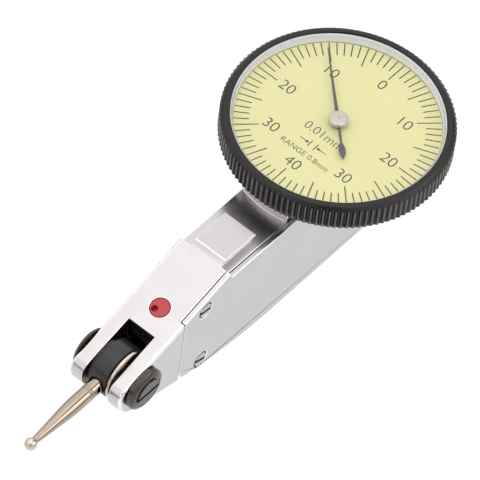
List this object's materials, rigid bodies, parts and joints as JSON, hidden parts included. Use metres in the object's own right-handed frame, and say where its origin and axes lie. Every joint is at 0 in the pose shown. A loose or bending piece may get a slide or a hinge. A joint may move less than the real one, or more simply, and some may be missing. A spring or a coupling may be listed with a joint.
{
  "type": "lever-type dial test indicator",
  "caption": "Slim satin-chrome test indicator with a swivelling ball-tipped stylus in a fork, dovetail pads, and a round dial under a domed crystal in a black knurled bezel.",
  "frame": {"origin": "centre of the top face of the upper dovetail", "axes": "+Z is the dial's normal, -X points along the stylus to its ball, and -Y is the side with the cover"},
  "size_m": [0.0967, 0.04, 0.0321],
  "materials": {
    "case_steel": "satin chrome plate",
    "cover_steel": "satin chrome plate",
    "screw_steel": "turned",
    "plain_steel": "ground",
    "black_oxide": "black oxide, glossy",
    "hub_black": "black oxide, satin",
    "washer_brass": "pale brass",
    "movement_brass": "satin",
    "spring_steel": "tempered",
    "ruby": "synthetic ruby, polished",
    "stylus_nickel": "bright nickel",
    "ball_carbide": "ground carbide",
    "red_plug": "glossy",
    "hand_dark": "dark lacquer",
    "cap_silver": "polished",
    "bezel_black": "black anodised, glossy",
    "dial_yellow": "matt printed",
    "ring_silver": "bright",
    "crystal_clear": "clear, domed"
  },
  "bodies": {
    "case": {"case_frame": "case_steel", "side_cover": "cover_steel", "cover_screw_upper_front": "screw_steel", "cover_screw_lower_front": "screw_steel", "cover_screw_upper_rear": "screw_steel", "cover_screw_lower_rear": "screw_steel", "pivot_screw_near": "black_oxide", "pivot_screw_far": "black_oxide", "adjuster_plug": "red_plug", "dial_base_plate": "plain_steel", "base_screw_front": "screw_steel", "base_screw_rear": "screw_steel", "bezel_snap_ring": "spring_steel", "movement_plate": "movement_brass", "plate_screw_front": "plain_steel", "plate_screw_rear": "plain_steel", "foot_jewel": "ruby", "centre_bush": "ruby", "hairspring": "spring_steel", "hairspring_stud": "movement_brass"},
    "lever": {"pivot_arbor": "plain_steel", "transfer_lever": "plain_steel", "drive_pin": "plain_steel", "clutch_washer": "washer_brass", "clutch_spring": "spring_steel"},
    "stylus": {"hub_drum": "hub_black", "stylus_shank": "stylus_nickel", "contact_ball": "ball_carbide"},
    "sector": {"sector_gear": "movement_brass", "sector_arbor": "plain_steel"},
    "crown": {"crown_gear": "movement_brass", "crown_pinion": "plain_steel", "crown_arbor": "plain_steel"},
    "pointer": {"centre_arbor": "plain_steel", "centre_pinion": "plain_steel", "hairspring_collet": "movement_brass", "pointer_hand": "hand_dark", "pointer_cap": "cap_silver"},
    "bezel": {"bezel": "bezel_black", "dial_plate": "dial_yellow", "reflector_ring": "ring_silver", "crystal": "crystal_clear"}
  },
  "joints": [
    {"name": "bezel_turn", "type": "hinge", "parent": "case", "child": "bezel", "pos_m": [0.0282, 0, 0.00475], "axis": [0, 0, 1], "continuous": true},
    {"name": "lever_swing", "type": "hinge", "parent": "case", "child": "lever", "pos_m": [-0.0265, 0, -0.01085], "axis": [0, 1, 0], "range_deg": [-1.1, 1.1], "stiffness_Nm_per_rad": 0.3},
    {"name": "stylus_set", "type": "hinge", "parent": "lever", "child": "stylus", "pos_m": [-0.0265, 0, -0.01085], "axis": [0, 1, 0], "range_deg": [-115, 120]},
    {"name": "sector_swing", "type": "hinge", "parent": "case", "child": "sector", "pos_m": [0.01414, 0, -0.01085], "axis": [0, 1, 0], "range_deg": [-4.5, 4.5]},
    {"name": "crown_turn", "type": "hinge", "parent": "case", "child": "crown", "pos_m": [0.0282, 0, -0.01085], "axis": [0, 1, 0], "range_deg": [-37, 37]},
    {"name": "pointer_turn", "type": "hinge", "parent": "case", "child": "pointer", "pos_m": [0.0282, 0, 0.00475], "axis": [0, 0, 1], "range_deg": [-185, 185]}
  ],
  "couplings": [
    {"joint": "sector_swing", "follows": "lever_swing", "ratio": -3.9396},
    {"joint": "crown_turn", "follows": "lever_swing", "ratio": 32.83},
    {"joint": "pointer_turn", "follows": "lever_swing", "ratio": -164.15}
  ]
}
